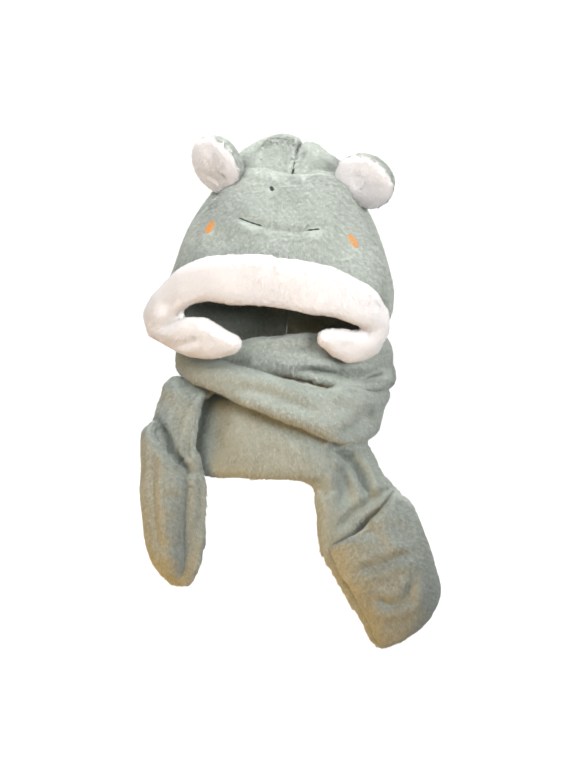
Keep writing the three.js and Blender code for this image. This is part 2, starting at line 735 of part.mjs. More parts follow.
// The smiling line of stitches
function mouthLine() {
  const strips = { outer: [], inner: [] };
  for (let step = 0; step <= mouthSteps; step += 1) {
    const share = 2 * step / mouthSteps - 1;
    const x = share * mouthHalfLength;
    const level = mouthLevel + mouthSmile * share * share;
    const spots = [1, -1].map((end) => faceAt(x, level + end * mouthLineWidth / 2));
    strips.outer.push(spots.map((spot) => {
      return spot.clone().addScaledVector(inward(spot), -sewnGap - threadThick);
    }));
    strips.inner.push(spots.map((spot) => spot.clone().addScaledVector(inward(spot), -sewnGap)));
  }
  return sheetSolid(strips.outer, strips.inner);
}

function addPiece(group, name, geometry, material) {
  const mesh = new THREE.Mesh(geometry, material);
  mesh.name = name;
  group.add(mesh);
}

// Hood, tilted as worn
const hood = new THREE.Group();
hood.rotation.set(0, hoodRoll, hoodYaw, "XYZ");
const gores = {
  face_panel: faceGrid(),
  crown_left: crownGrid(-1),
  crown_right: crownGrid(1),
};
for (const [name, grid] of Object.entries(gores)) {
  addPiece(hood, name, sheetSolid(grid, offsetGrid(grid, hoodWall)).geometry(), sagePlush);
}
addPiece(hood, "cuff", cuffBand().solid().geometry(), whitePlush);

// The ears end where they meet the hood
const goreSpace = Object.values(gores)
  .map((grid) => sheetSolid(offsetGrid(grid, -sewnGap), offsetGrid(grid, earCutDepth)).manifold())
  .reduce((joined, gore) => joined.add(gore));
for (const ear of ears) {
  const sideName = ear.side < 0 ? "left" : "right";
  const face = earHalf(ear, earFaceThick, 1).manifold().subtract(goreSpace);
  const back = earHalf(ear, earBackThick, -1).manifold().subtract(goreSpace);
  addPiece(hood, `ear_${sideName}_face`, geometryOf(face), whitePlush);
  addPiece(hood, `ear_${sideName}_back`, geometryOf(back), sagePlush);
}
for (const side of [-1, 1]) {
  const sideName = side < 0 ? "left" : "right";
  addPiece(hood, `nostril_${sideName}`, nostril(side).geometry(), darkThread);
  addPiece(hood, `cheek_${sideName}`, cheek(side).geometry(), orangeThread);
}
addPiece(hood, "mouth", mouthLine().geometry(), darkThread);

// Scarf and its pockets
const scarf = new THREE.Group();
const scarfParts = [
  { name: "left", side: -1, wrap: leftWrap, tail: leftTail, length: leftTailLength },
  { name: "right", side: 1, wrap: rightWrap, tail: rightTail, length: rightTailLength },
];
for (const part of scarfParts) {
  const band = scarfBand(part.side, part.wrap, part.tail, part.length);
  const pocket = pockets.find((row) => row.side === part.side);
  addPiece(scarf, `scarf_${part.name}`, band.solid().geometry(), sagePlush);
  const front = pocketSolid(band, pocket, part.length);
  addPiece(scarf, `pocket_${part.name}`, front.geometry(), sagePlush);
}

const part = new THREE.Group();
part.add(hood, scarf);
export default part;
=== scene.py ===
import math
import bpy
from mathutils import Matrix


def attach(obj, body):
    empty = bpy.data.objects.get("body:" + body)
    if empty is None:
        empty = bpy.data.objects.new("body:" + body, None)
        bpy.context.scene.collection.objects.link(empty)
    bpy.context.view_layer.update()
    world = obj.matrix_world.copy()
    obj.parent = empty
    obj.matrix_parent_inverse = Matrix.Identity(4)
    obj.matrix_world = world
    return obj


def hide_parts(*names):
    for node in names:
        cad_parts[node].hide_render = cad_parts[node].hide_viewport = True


bl_info = {
    "name": "Animal Hood Scarf",
    "version": (1, 0, 0),
    "blender": (4, 5, 0),
    "location": "View3D > Sidebar > Hood Scarf",
    "description": "Plush animal hood with its pocketed scarf, made round the packed part",
    "category": "Object",
}

from collections import namedtuple

import bmesh
import bpy
import numpy as np
from bpy.props import FloatProperty, FloatVectorProperty, IntProperty, PointerProperty
from mathutils import Vector
from mathutils.bvhtree import BVHTree

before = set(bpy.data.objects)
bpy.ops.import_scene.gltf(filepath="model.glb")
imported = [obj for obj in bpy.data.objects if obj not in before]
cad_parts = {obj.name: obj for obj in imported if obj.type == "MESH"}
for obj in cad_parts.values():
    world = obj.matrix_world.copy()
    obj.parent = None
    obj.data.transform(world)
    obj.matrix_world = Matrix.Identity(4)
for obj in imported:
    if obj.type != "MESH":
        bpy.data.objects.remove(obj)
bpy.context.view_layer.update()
MM = 0.001

# The front view that the folds and marks are placed in. Its places are in millimetres from its left
# and top, as they are seen at the target.
VIEW_ELEVATION = math.radians(8)
VIEW_DISTANCE = 2.5
VIEW_TARGET = Vector((-0.007, 0.0, -0.204))
VIEW_WIDTH = 576
VIEW_HEIGHT = 768

# A padded piece: the node that it stands for, its record slot, the remesh's voxel and the most that
# its padding swells in mm, how full it is, how many blades of pile a square millimetre has, and how
# often its shape is eased.
Pad = namedtuple("Pad", "node slot voxel swell fill blades ease", defaults=[3])
GORES = {
    "front_gore": Pad("face_panel", "sage_plush", 4.0, 3.0, 0.5, 2.4),
    "crown_gore_left": Pad("crown_left", "sage_plush", 4.0, 3.0, 0.5, 1.4),
    "crown_gore_right": Pad("crown_right", "sage_plush", 4.0, 3.0, 0.5, 1.4),
}
CUFFS = {
    "face_cuff": Pad("cuff", "white_plush", 3.6, 3.5, 0.8, 2.6),
}
EARS = {
    "ear_left_lining": Pad("ear_left_face", "white_plush", 2.4, 2.5, 0.8, 3.4),
    "ear_left_shell": Pad("ear_left_back", "sage_plush", 2.4, 2.5, 0.8, 3.0),
    "ear_right_lining": Pad("ear_right_face", "white_plush", 2.4, 2.5, 0.8, 3.4),
    "ear_right_shell": Pad("ear_right_back", "sage_plush", 2.4, 2.5, 0.8, 3.0),
}
SCARF_BANDS = {
    "scarf_band_left": Pad("scarf_left", "sage_plush", 4.4, 3.5, 0.6, 2.2),
    "scarf_band_right": Pad("scarf_right", "sage_plush", 4.6, 3.5, 0.6, 2.0),
}
POCKETS = {
    "hand_pocket_left": Pad("pocket_left", "sage_plush", 3.2, 2.5, 0.5, 2.8, ease=16),
    "hand_pocket_right": Pad("pocket_right", "sage_plush", 3.2, 2.5, 0.5, 2.8, ease=16),
}
PADDED = {**GORES, **CUFFS, **EARS, **SCARF_BANDS, **POCKETS}
# The most triangles of a piece with its pile.
MOST_FACES = 170_000

# How near vertices are welded, how far one easing evens them out, and how finely the swelling of the
# padding is worked out.
WELD_GAP = 0.02 * MM
EASE_FACTOR = 0.5
CLOTH_QUALITY = 4
# The share, size and seed of each field of soft lumps in the padding.
PADDING_LUMPS = [(0.7, 38 * MM, 3), (0.4, 17 * MM, 5)]

# A fold pressed into a piece: its half width and depth in mm, and its line in the front view.
Fold = namedtuple("Fold", "wide deep line")
TOP_SEAM = [(240, 168), (262, 164), (278, 168), (291, 177), (303, 169), (320, 168), (345, 182)]
BACK_SEAM = [(300, 138), (296, 152), (292, 176)]
FOLDS = {
    "crown_gore_left": [Fold(4.0, 2.0, TOP_SEAM), Fold(4.0, -2.6, BACK_SEAM)],
    "crown_gore_right": [Fold(4.0, 2.0, TOP_SEAM), Fold(4.0, -2.6, BACK_SEAM)],
    "front_gore": [
        Fold(4.5, 2.0, TOP_SEAM),
        Fold(4.0, 3.0, [(236, 216), (258, 226), (278, 230), (298, 232), (322, 229)]),
        Fold(7.0, 2.5, [(290, 176), (289, 186)]),
        Fold(9.0, 2.0, [(205, 240), (232, 232)]),
        Fold(9.0, 2.0, [(330, 236), (352, 256)]),
    ],
    "ear_left_lining": [Fold(8.0, 1.8, [(214, 182), (222, 173)])],
    "ear_right_lining": [Fold(8.0, 1.8, [(352, 178), (362, 183)])],
    "face_cuff": [
        Fold(5.0, 5.0, [(158, 329), (172, 321), (190, 310)]),
        Fold(4.0, 2.5, [(172, 346), (186, 343), (200, 338)]),
        Fold(6.0, 1.2, [(372, 300), (383, 312), (389, 324)]),
    ],
    "scarf_band_left": [
        Fold(4.5, 13.0, [(300, 370), (330, 374), (350, 376), (366, 376), (378, 370), (388, 362)]),
        Fold(6.0, 3.0, [(262, 346), (290, 352), (318, 350)]),
        Fold(4.5, 12.0, [(158, 420), (166, 438), (174, 454), (183, 472)]),
        Fold(4.0, 8.0, [(209, 396), (197, 418), (190, 440), (186, 462)]),
        Fold(5.0, 3.0, [(178, 464), (190, 471), (206, 469)]),
        Fold(5.0, 3.0, [(200, 468), (202, 500), (198, 540)]),
    ],
    "scarf_band_right": [
        Fold(7.0, 5.0, [(340, 436), (358, 426), (378, 411)]),
        Fold(6.0, 3.5, [(226, 386), (262, 392), (300, 406), (322, 414)]),
        Fold(5.0, 5.0, [(345, 466), (347, 484), (342, 502)]),
        Fold(4.5, 11.0, [(334, 448), (348, 458), (358, 470), (364, 484), (371, 500)]),
        Fold(4.0, 6.0, [(338, 528), (352, 514), (368, 502), (390, 489)]),
        Fold(7.0, 3.0, [(376, 452), (384, 466), (388, 480)]),
        Fold(8.0, 2.5, [(222, 404), (216, 430), (214, 452)]),
        Fold(8.0, 2.5, [(262, 420), (292, 430), (330, 444)]),
    ],
    "hand_pocket_left": [
        Fold(4.0, 3.5, [(155, 438), (153, 480), (156, 530), (163, 566)]),
        Fold(6.0, 2.5, [(160, 500), (170, 496), (182, 500)]),
        Fold(6.0, 2.5, [(160, 540), (170, 546), (182, 544)]),
    ],
    "hand_pocket_right": [
        Fold(5.0, 6.0, [(358, 572), (378, 564), (394, 557), (414, 553)]),
        Fold(5.0, 6.0, [(374, 599), (392, 605), (408, 597), (415, 578)]),
        Fold(6.0, 4.0, [(348, 540), (364, 531), (380, 531)]),
        Fold(6.0, 3.0, [(388, 520), (400, 532), (408, 548)]),
        Fold(6.0, 3.0, [(384, 622), (398, 622), (412, 614)]),
    ],
}
# A fold runs out over one part of this many at both ends, down to this share of its depth. Its sides
# roll up by this share of it, and it is whole where the cloth faces the front by one part in so many.
FOLD_RUNOUT = 6
FOLD_END = 0.25
FOLD_ROLL = 0.35
FOLD_FACING = 2
# Where a piece is pulled aside: the half width of the pulled part, how far across and up in mm, and
# its line in the front view.
Tuck = namedtuple("Tuck", "wide across up line")
TUCKS = {
    "scarf_band_left": [
        Tuck(13.0, -11.0, 0.0, [(213, 404), (209, 428), (206, 446)]),
        Tuck(8.0, 3.0, 0.0, [(208, 484), (206, 540)]),
    ],
    "scarf_band_right": [Tuck(14.0, -11.0, -8.0, [(206, 446), (216, 462)])],
    "hand_pocket_left": [Tuck(8.0, 5.0, -5.0, [(146, 418), (148, 420)])],
    "hand_pocket_right": [Tuck(8.0, -6.0, -3.0, [(400, 488), (403, 490)])],
}
# Where the padding lies thicker, or below zero thinner: half width and height in mm, and line.
BULGES = {
    "crown_gore_right": [Fold(9.0, -6.0, [(306, 136), (318, 142), (330, 150)])],
    "scarf_band_left": [
        Fold(9.0, 7.0, [(176, 374), (176, 382), (172, 390)]),
        Fold(6.0, 3.0, [(350, 384), (370, 385), (386, 380)]),
    ],
    "scarf_band_right": [Fold(7.0, 6.0, [(338, 392), (362, 397), (386, 394)])],
}

# The mouth's line, the part of it across whose stitches lie deep in the pile, how deep those lie and
# how high the others do, and how far each stitch goes under the next one, all in mm.
MOUTH_LINE = [(239, 218), (249, 222), (259, 225), (278, 229), (298, 231), (319, 229)]
MOUTH_COVERED = (262, 308)
MOUTH_SUNK = -1.0
MOUTH_RAISED = 0.1
MOUTH_OVERLAP = 0.6
# A satin-stitched oval: its node and record slot, its centre, width and height in mm, its lean in
# degrees, how many threads it has, and how far they are raised in mm.
Mark = namedtuple("Mark", "node slot centre wide high lean threads raised")
MARKS = {
    "nostril_stitch_left": Mark("nostril_left", "dark_thread", (272, 189), 5.0, 4.0, 0, 4, 0.3),
    "nostril_stitch_right": Mark("nostril_right", "dark_thread", (294, 189), 5.0, 4.0, 0, 4, -0.9),
    "cheek_stitch_left": Mark("cheek_left", "orange_thread", (210, 227), 7.5, 14.0, 34, 10, 0.0),
    "cheek_stitch_right": Mark("cheek_right", "orange_thread", (353, 241), 8.5, 16.0, -34, 10, 0.0),
}
# How far an oval's threads slant and end unevenly in mm, and how fast that changes along it.
THREAD_SLANT = 0.9
THREAD_UNEVEN = 0.5
UNEVEN_TURN = 2.3
# How dark a thread is within its twist, as a share of its colour.
THREAD_SHADOW = 0.62
# Where along a stitch it is cut for its rounding, how thick its ends stay, and how far it bows up from
# the cloth, as a share of its thickness.
STITCH_CUTS = (0, -0.33, 0.33)
STITCH_END = 0.12
STITCH_BOW = 0.3

# Where the pile is short, so that stitches lie clear: the share of its length that it keeps there, and
# how far off in mm it starts to grow longer and over how many more it gets whole.
WORN_SPOTS = [
    (272, 189), (246, 221), (252, 223), (258, 225), (313, 230), (318, 229), (211, 225), (211, 230),
    (351, 237), (355, 243),
]
WORN_LENGTH = 0.25
WORN_GAP = 3
WORN_FADE = 6

# How open the cloth lies is looked for along these ways, from so many mm off it and as far as so many
# m. Times the gain it is the share of the pile there, and hidden cloth keeps the last share.
OPEN_TILTS = [(0, 0, 0), (0.9, 0, 0.2), (-0.9, 0, 0.2), (0, 0.9, -0.4), (0, -0.9, 0.4)]
OPEN_START = 1.5
OPEN_REACH = 0.12
OPEN_GAIN = 2.5
HIDDEN_PILE = 0.06
# How the map of a piece is cut up: the angle in radians and the margin between its parts.
MAP_ANGLE = 1.15
MAP_MARGIN = 0.004

# Which way the pile is brushed, and on the cuff. On the ears' linings it keeps a share of the first and
# spreads outwards with the distance from their middle. Swirls of this size and share turn it.
BRUSHED = (0.0, 0.45, -1.0)
CUFF_BRUSHED = (0.0, 0.8, -0.6)
LINING_BRUSHED = 0.5
LINING_SPREAD = 15 * MM
SWIRL_SIZE = 30 * MM
SWIRL_SHARE = 0.22
SWIRL_SEEDS = (11, 12, 13)
# A blade's way: how much it rises, follows the brushing, leans with its clump and its tuft, and strays.
BLADE_RISE = 0.34
BLADE_FLOW = 0.8
CLUMP_LEAN = 0.06
CLUMP_SIZE = 7 * MM
CLUMP_SEEDS = (21, 22, 23)
TUFT_LEAN = 0.2
TUFT_SIZE = 2.4 * MM
TUFT_SEEDS = (31, 32, 33)
STRAY_LEAN = 0.12
# As many waves as keep the finest fields free of a pattern.
FINE_WAVES = 24
# A blade's length as shares of the pile's: its mean, what lumps of this size add, and what chance does.
LENGTH_MEAN = 0.95
LENGTH_LUMPS = 0.07
LENGTH_LUMP_SIZE = 9 * MM
LENGTH_SEED = 41
LENGTH_CHANCE = 0.15
# How far a blade's sides turn by chance, how its width varies, how deep its root is sunk in mm, and how
# far its shading follows its own face.
SIDE_CHANCE = 0.15
WIDTH_SHARES = (0.7, 1.3)
ROOT_SUNK = 0.4
FACE_SHADING = 0.5
# A blade's tone from 0, deep, to 1, light: its mean, what lumps of this size add, and what chance does.
TONE_MEAN = 0.58
TONE_LUMPS = 0.03
TONE_LUMP_SIZE = 30 * MM
TONE_SEED = 52
TONE_CHANCE = 0.12
# Short level lines of painted shade, as where the pile parts and its dark depth shows: their shape, size
# and seed, how much darker they are in each plush, and the limits of that.
PARTING_SHAPE = (0.6, 0.6, 1.1)
PARTING_SIZE = 1.6 * MM
PARTING_SEED = 61
PARTING_SHADE = {"sage_plush": 0.17, "white_plush": 0.07}
PARTING_LIMITS = (-1.2, 2)
# The tone of the cloth under the pile, kept dark as painted shade, and what a blade's two root corners
# and its tip add to its own: painted shade at the roots, a painted highlight at the tip.
CLOTH_SHADE_TONE = 0.3
CORNER_SHADE_AND_HIGHLIGHT = (-0.3, -0.3, 0.15)
# How far a blade's corners lie across its root's face on the map, as shares of it.
MAP_SHARES = (0.04, 0.12)

# Patches of painted light and shade, as where the pile lies another way, and painted strands, lighter
# where the relief is raised and darker in its dips: their size and how much they tell.
PATCH_SIZE = 25 * MM
PATCH_CONTRAST = 0.22
STRAND_SIZE = 2.2 * MM
STRAND_CONTRAST = 0.2

# The backdrop paper in m: how wide it is, how far behind it starts to rise, how it climbs and draws in
# beyond that, and between which places behind its glow sets in.
FLOOR_SIZE = 12
RISE_START = 3.4
RISE_CLIMB = 0.45
RISE_DRAW = 0.35
GLOW_START = 2.0
GLOW_FULL = 3.2
# The camera's sensor in mm and its reach in m.
SENSOR_WIDTH = 36
VIEW_REACH = 30

# The soft lamps: place and size in m, share of the key light's power, the height that they are
# aimed at, the angle that they spread over in degrees, and their colour.
Lamp = namedtuple("Lamp", "name place size share aim spread colour")
LAMPS = [
    Lamp("key", (-0.3, -0.6, 0.5), 0.5, 0.62, 0.0, 50, "FFFFFF"),
    Lamp("front", (0.62, -1.05, 0.18), 0.5, 0.7, -0.08, 40, "FFFFFF"),
    Lamp("right", (1.1, -0.15, 0.7), 0.9, 0.32, 0.0, 50, "FFFFFF"),
    Lamp("left", (-1.1, -0.1, 0.6), 0.9, 0.42, 0.08, 40, "FFFFFF"),
    Lamp("top", (0.1, 0.0, 1.5), 1.0, 1.1, 0.0, 60, "FFFFFF"),
    Lamp("back", (0.0, 1.3, 0.8), 1.0, 1.0, 0.0, 60, "FFFFFF"),
    Lamp("warm", (-0.42, -0.42, -0.72), 0.4, 0.54, -0.45, 76, "FFC03C"),
]


def linear(hex_colour):
    """Linear red, green and blue of an sRGB hex value."""
    parts = [int(hex_colour[at:at + 2], 16) / 255 for at in (0, 2, 4)]
    return tuple(part / 12.92 if part <= 0.04045 else ((part + 0.055) / 1.055) ** 2.4 for part in parts)


class PlushSettings(bpy.types.PropertyGroup):
    """Pile and colours of the plush"""

    sage_pile: FloatProperty(
        name="Sage pile",
        description="Length of the sage plush's pile",
        default=3.6 * MM,
        unit="LENGTH",
    )
    white_pile: FloatProperty(
        name="White pile",
        description="Length of the white plush's pile",
        default=3.4 * MM,
        unit="LENGTH",
    )
    blade_width: FloatProperty(
        name="Tuft width",
        description="Width of a tuft of pile at its root",
        default=0.6 * MM,
        unit="LENGTH",
    )
    # The deep colour: painted shade between the tufts, and the darkest random tone
    sage_deep: FloatVectorProperty(
        name="Sage, deep",
        description="Colour between the sage tufts",
        subtype="COLOR",
        default=linear("8E978C"),
    )
    # The light colour: a painted highlight on the tips, and the lightest random tone
    sage_light: FloatVectorProperty(
        name="Sage, light",
        description="Colour of the sage tips",
        subtype="COLOR",
        default=linear("D2D7CF"),
    )
    # The deep colour: painted shade between the tufts, and the darkest random tone
    white_deep: FloatVectorProperty(
        name="White, deep",
        description="Colour between the white tufts",
        subtype="COLOR",
        default=linear("EEE6E2"),
    )
    # The light colour: a painted highlight on the tips, and the lightest random tone
    white_light: FloatVectorProperty(
        name="White, light",
        description="Colour of the white tips",
        subtype="COLOR",
        default=linear("FBF8F7"),
    )
    seed: IntProperty(
        name="Seed",
        description="Start of the pile's random numbers",
        default=7,
    )


class PaddingSettings(bpy.types.PropertyGroup):
    """How the padding swells"""

    pressure: FloatProperty(
        name="Pressure",
        description="Pressure of the padding in the cloth simulation",
        default=4.0,
    )
    frames: IntProperty(
        name="Frames",
        description="Frames that the padding takes to swell",
        default=14,
    )
    lumps: FloatProperty(
        name="Lumps",
        description="Height of the soft lumps that wear leaves in the padding",
        default=1.6 * MM,
        unit="LENGTH",
    )
    plumpness: FloatProperty(
        name="Plumpness",
        description="How far each piece presses out towards its neighbours",
        default=1.2 * MM,
        unit="LENGTH",
    )


class StitchSettings(bpy.types.PropertyGroup):
    """Thread of the face marks"""

    thread: FloatProperty(
        name="Thread",
        description="Thickness of the embroidery thread",
        default=1.3 * MM,
        unit="LENGTH",
    )
    mouth_thread: FloatProperty(
        name="Mouth thread",
        description="Thickness of the mouth's cord of thread",
        default=1.6 * MM,
        unit="LENGTH",
    )
    mouth_stitch: FloatProperty(
        name="Mouth stitch",
        description="Length of a stitch of the mouth",
        default=6.0 * MM,
        unit="LENGTH",
    )
    dark: FloatVectorProperty(
        name="Dark thread",
        description="Colour of the nostrils and mouth",
        subtype="COLOR",
        default=linear("2B3436"),
    )
    orange: FloatVectorProperty(
        name="Orange thread",
        description="Colour of the cheeks",
        subtype="COLOR",
        default=linear("E89A3C"),
    )


class StageSettings(bpy.types.PropertyGroup):
    """Floor and light"""

    floor_level: FloatProperty(
        name="Floor level",
        description="Height of the floor under the hood's origin",
        default=-1.6,
        unit="LENGTH",
    )
    floor: FloatVectorProperty(
        name="Floor",
        description="Colour of the floor",
        subtype="COLOR",
        default=linear("FFFFFF"),
    )
    daylight: FloatProperty(
        name="Daylight",
        description="Strength of the light from all round",
        default=0.18,
    )
    key_light: FloatProperty(
        name="Key light",
        description="Power of the large soft light, in watts",
        default=1.45,
    )


def pick(*objects):
    """Make these the only selected objects, the first one active."""
    if bpy.context.object and bpy.context.object.mode != "OBJECT":
        bpy.ops.object.mode_set(mode="OBJECT")
    bpy.ops.object.select_all(action="DESELECT")
    for item in objects:
        item.select_set(True)
    bpy.context.view_layer.objects.active = objects[0]


def points_of(mesh):
    places = np.empty(len(mesh.vertices) * 3)
    mesh.vertices.foreach_get("co", places)
    return places.reshape(-1, 3)


def normals_of(mesh):
    normals = np.empty(len(mesh.vertices) * 3)
    mesh.vertices.foreach_get("normal", normals)
    return normals.reshape(-1, 3)


def put_points(mesh, places):
    mesh.vertices.foreach_set("co", places.ravel())
    mesh.update()


def unit(vectors):
    """Each vector with a length of 1."""
    return vectors / np.maximum(np.linalg.norm(vectors, axis=1, keepdims=True), 1e-9)


def seen_at(places):
    """Where places are seen from the front, in mm from the left and top of the view."""
    x, y, z = (places - np.array(VIEW_TARGET)).T / MM
    rise = z * math.cos(VIEW_ELEVATION) + y * math.sin(VIEW_ELEVATION)
    depth = y * math.cos(VIEW_ELEVATION) - z * math.sin(VIEW_ELEVATION)
    distance = VIEW_DISTANCE / MM
    near = distance / (distance + depth)
    return np.stack([VIEW_WIDTH / 2 + x * near, VIEW_HEIGHT / 2 - rise * near], 1)


def toward_view():
    """The way from the target to the eye of the front view."""
    return np.array([0.0, -math.cos(VIEW_ELEVATION), math.sin(VIEW_ELEVATION)])


def lumps(places, size, seed, waves=10):
    """A smooth random field of about -1 to 1 whose lumps are size metres across."""
    random = np.random.default_rng(seed)
    directions = unit(random.normal(size=(waves, 3)))
    turns = math.pi / size * random.uniform(0.6, 1.4, waves)
    phases = random.uniform(0, 2 * math.pi, waves)
    return np.sin(places @ (directions * turns[:, None]).T + phases).sum(1) / math.sqrt(waves)


def lumps_3d(places, size, seeds, waves=10):
    """A smooth random field of vectors, with a seed for each of their three parts."""
    return np.stack([lumps(places, size, seed, waves) for seed in seeds], 1)


def line_gap(seen, line):
    """Distance of each seen place from a line, and how far along the line it lies, from 0 to 1."""
    line = np.array(line, float)
    steps = np.linalg.norm(np.diff(line, axis=0), axis=1)
    starts = np.concatenate([[0], np.cumsum(steps)])
    gap = np.full(len(seen), np.inf)
    along = np.zeros(len(seen))
    for start, end, length, begun in zip(line[:-1], line[1:], steps, starts):
        way = (end - start) / length
        share = np.clip((seen - start) @ way, 0, length)
        here = np.linalg.norm(seen - start - share[:, None] * way, axis=1)
        closer = here < gap
        gap[closer] = here[closer]
        along[closer] = (begun + share[closer]) / starts[-1]
    return gap, along


def soft_copy(name, pad):
    """The node's solid as an even mesh of small faces, ready to be padded."""
    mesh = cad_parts[pad.node].data.copy()
    mesh.name = name
    mesh.materials.clear()
    piece = bpy.data.objects.new(name, mesh)
    bpy.context.scene.collection.objects.link(piece)
    pick(piece)
    bpy.ops.object.mode_set(mode="EDIT")
    bpy.ops.mesh.select_all(action="SELECT")
    bpy.ops.mesh.remove_doubles(threshold=WELD_GAP)
    bpy.ops.object.mode_set(mode="OBJECT")
    mesh.remesh_voxel_size = pad.voxel * MM
    mesh.remesh_voxel_adaptivity = 0
    bpy.ops.object.voxel_remesh()
    ease = piece.modifiers.new("Ease", "SMOOTH")
    ease.factor = EASE_FACTOR
    ease.iterations = pad.ease
    bpy.ops.object.modifier_apply(modifier=ease.name)
    return piece


def swell(piece, most, padding):
    """Blow the piece up like its padding does, no vertex further than most."""
    before = points_of(piece.data)
    pick(piece)
    cloth = piece.modifiers.new("Padding", "CLOTH")
    cloth.settings.quality = CLOTH_QUALITY
    cloth.settings.use_pressure = True
    cloth.settings.uniform_pressure_force = padding.pressure
    cloth.settings.effector_weights.gravity = 0
    cloth.point_cache.frame_start = 1
    cloth.point_cache.frame_end = padding.frames
    for step in range(1, padding.frames + 1):
        bpy.context.scene.frame_set(step)
    bpy.ops.object.modifier_apply(modifier=cloth.name)
    bpy.context.scene.frame_set(1)
    moved = points_of(piece.data) - before
    far = np.linalg.norm(moved, axis=1, keepdims=True)
    put_points(piece.data, before + moved * np.minimum(1, most / np.maximum(far, 1e-9)))


def press_folds(piece, folds):
    """Press each fold into what faces the front, with a soft roll along both of its sides."""
    places = points_of(piece.data)
    normals = normals_of(piece.data)
    seen = seen_at(places)
    facing = np.clip(normals @ toward_view() * FOLD_FACING, 0, 1)
    push = np.zeros(len(places))
    for fold in folds:
        gap, along = line_gap(seen, fold.line)
        ends = np.clip(np.minimum(along, 1 - along) * FOLD_RUNOUT, FOLD_END, 1)
        beside = np.exp(-(((gap - 2 * fold.wide) / fold.wide) ** 2))
        push -= ends * fold.deep * np.exp(-((gap / fold.wide) ** 2))
        push += ends * fold.deep * FOLD_ROLL * beside
    put_points(piece.data, places + normals * (push * facing * MM)[:, None])


def fill_out(piece, bulges):
    """Fill the piece out, or press it flat, all round where its padding lies thicker or thinner."""
    places = points_of(piece.data)
    normals = normals_of(piece.data)
    seen = seen_at(places)
    push = np.zeros(len(places))
    for bulge in bulges:
        gap = line_gap(seen, bulge.line)[0]
        push += bulge.deep * np.exp(-((gap / bulge.wide) ** 2))
    put_points(piece.data, places + normals * (push * MM)[:, None])


def tuck(piece, tucks):
    """Move parts of the piece sideways and up, as the wearing has left them."""
    places = points_of(piece.data)
    seen = seen_at(places)
    for pulled in tucks:
        gap = line_gap(seen, pulled.line)[0]
        share = np.exp(-((gap / pulled.wide) ** 2))
        places = places + share[:, None] * np.array([pulled.across, 0, pulled.up]) * MM
    put_points(piece.data, places)


def add_lumps(piece, height, plumpness):
    """Round the piece out evenly up to its neighbours, and lay soft lumps over it."""
    places = points_of(piece.data)
    field = sum(share * lumps(places, size, seed) for share, size, seed in PADDING_LUMPS)
    put_points(piece.data, places + normals_of(piece.data) * (plumpness + field * height)[:, None])


def make_padded(name, pad):
    """A padded piece in place of its node, swollen and creased, still without its pile."""
    padding = bpy.context.scene.hood_padding
    piece = soft_copy(name, pad)
    swell(piece, pad.swell * MM, padding)
    tuck(piece, TUCKS.get(name, []))
    fill_out(piece, BULGES.get(name, []))
    add_lumps(piece, padding.lumps, padding.plumpness)
    press_folds(piece, FOLDS.get(name, []))
    for face in piece.data.polygons:
        face.use_smooth = True
    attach(piece, "root")
    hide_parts(pad.node)
    return piece


def triangles_of(mesh):
    """The corners' vertices and loops of each triangle."""
    mesh.calc_loop_triangles()
    count = len(mesh.loop_triangles)
    vertices = np.empty(count * 3, np.int32)
    loops = np.empty(count * 3, np.int32)
    mesh.loop_triangles.foreach_get("vertices", vertices)
    mesh.loop_triangles.foreach_get("loops", loops)
    return vertices.reshape(-1, 3), loops.reshape(-1, 3)


def across_faces(corners):
    """The vector across each triangle, twice as long as the triangle is large."""
    return np.cross(corners[:, 1] - corners[:, 0], corners[:, 2] - corners[:, 0])


def openness(piece, tree):
    """How open each triangle of a piece lies, from 0 where its neighbours cover it to 1."""
    corners = points_of(piece.data)[triangles_of(piece.data)[0]]
    middles = corners.mean(1)
    normals = unit(across_faces(corners))
    open_share = np.zeros(len(middles))
    for tilt in OPEN_TILTS:
        ways = unit(normals + np.array(tilt))
        for index, (middle, normal, way) in enumerate(zip(middles, normals, ways)):
            start = Vector(middle + normal * OPEN_START * MM)
            if tree.ray_cast(start, Vector(way), OPEN_REACH)[0] is None:
                open_share[index] += 1 / len(OPEN_TILTS)
    return open_share


def flow_of(places, normals, name):
    """Which way the pile is brushed: down and back, in swirls, and outwards on the ears' linings."""
    brushed = np.array(CUFF_BRUSHED if name in CUFFS else BRUSHED)
    if name.endswith("lining"):
        brushed = brushed * LINING_BRUSHED + (places - places.mean(0)) / LINING_SPREAD
    flow = brushed + SWIRL_SHARE * lumps_3d(places, SWIRL_SIZE, SWIRL_SEEDS)
    return unit(flow - normals * (flow * normals).sum(1, keepdims=True))


def unwrap(piece):
    """Lay the piece out on a map, and return the map's place of each loop."""
    pick(piece)
    bpy.ops.object.mode_set(mode="EDIT")
    bpy.ops.mesh.select_all(action="SELECT")
    bpy.ops.uv.smart_project(angle_limit=MAP_ANGLE, island_margin=MAP_MARGIN)
    bpy.ops.object.mode_set(mode="OBJECT")
    base_uv = np.empty(len(piece.data.loops) * 2)
    piece.data.uv_layers.active.uv.foreach_get("vector", base_uv)
    return base_uv.reshape(-1, 2)


def scatter(random, weight, count):
    """Random faces by weight, and a random place on each as the shares of its three corners."""
    chosen = random.choice(len(weight), size=count, p=weight / weight.sum())
    share = random.random((count, 2))
    over = share.sum(1) > 1
    share[over] = 1 - share[over]
    return chosen, np.column_stack([1 - share.sum(1), share])


def blade_ways(random, roots, up, flow):
    """Which way each blade lies: brushed flat, leaning with its clump and its tuft, a little astray."""
    clump = lumps_3d(roots, CLUMP_SIZE, CLUMP_SEEDS)
    tuft = lumps_3d(roots, TUFT_SIZE, TUFT_SEEDS, FINE_WAVES)
    stray = random.normal(size=roots.shape)
    lean = clump * CLUMP_LEAN + tuft * TUFT_LEAN + stray * STRAY_LEAN
    lean -= up * (lean * up).sum(1, keepdims=True)
    return unit(up * BLADE_RISE + flow * BLADE_FLOW + lean)


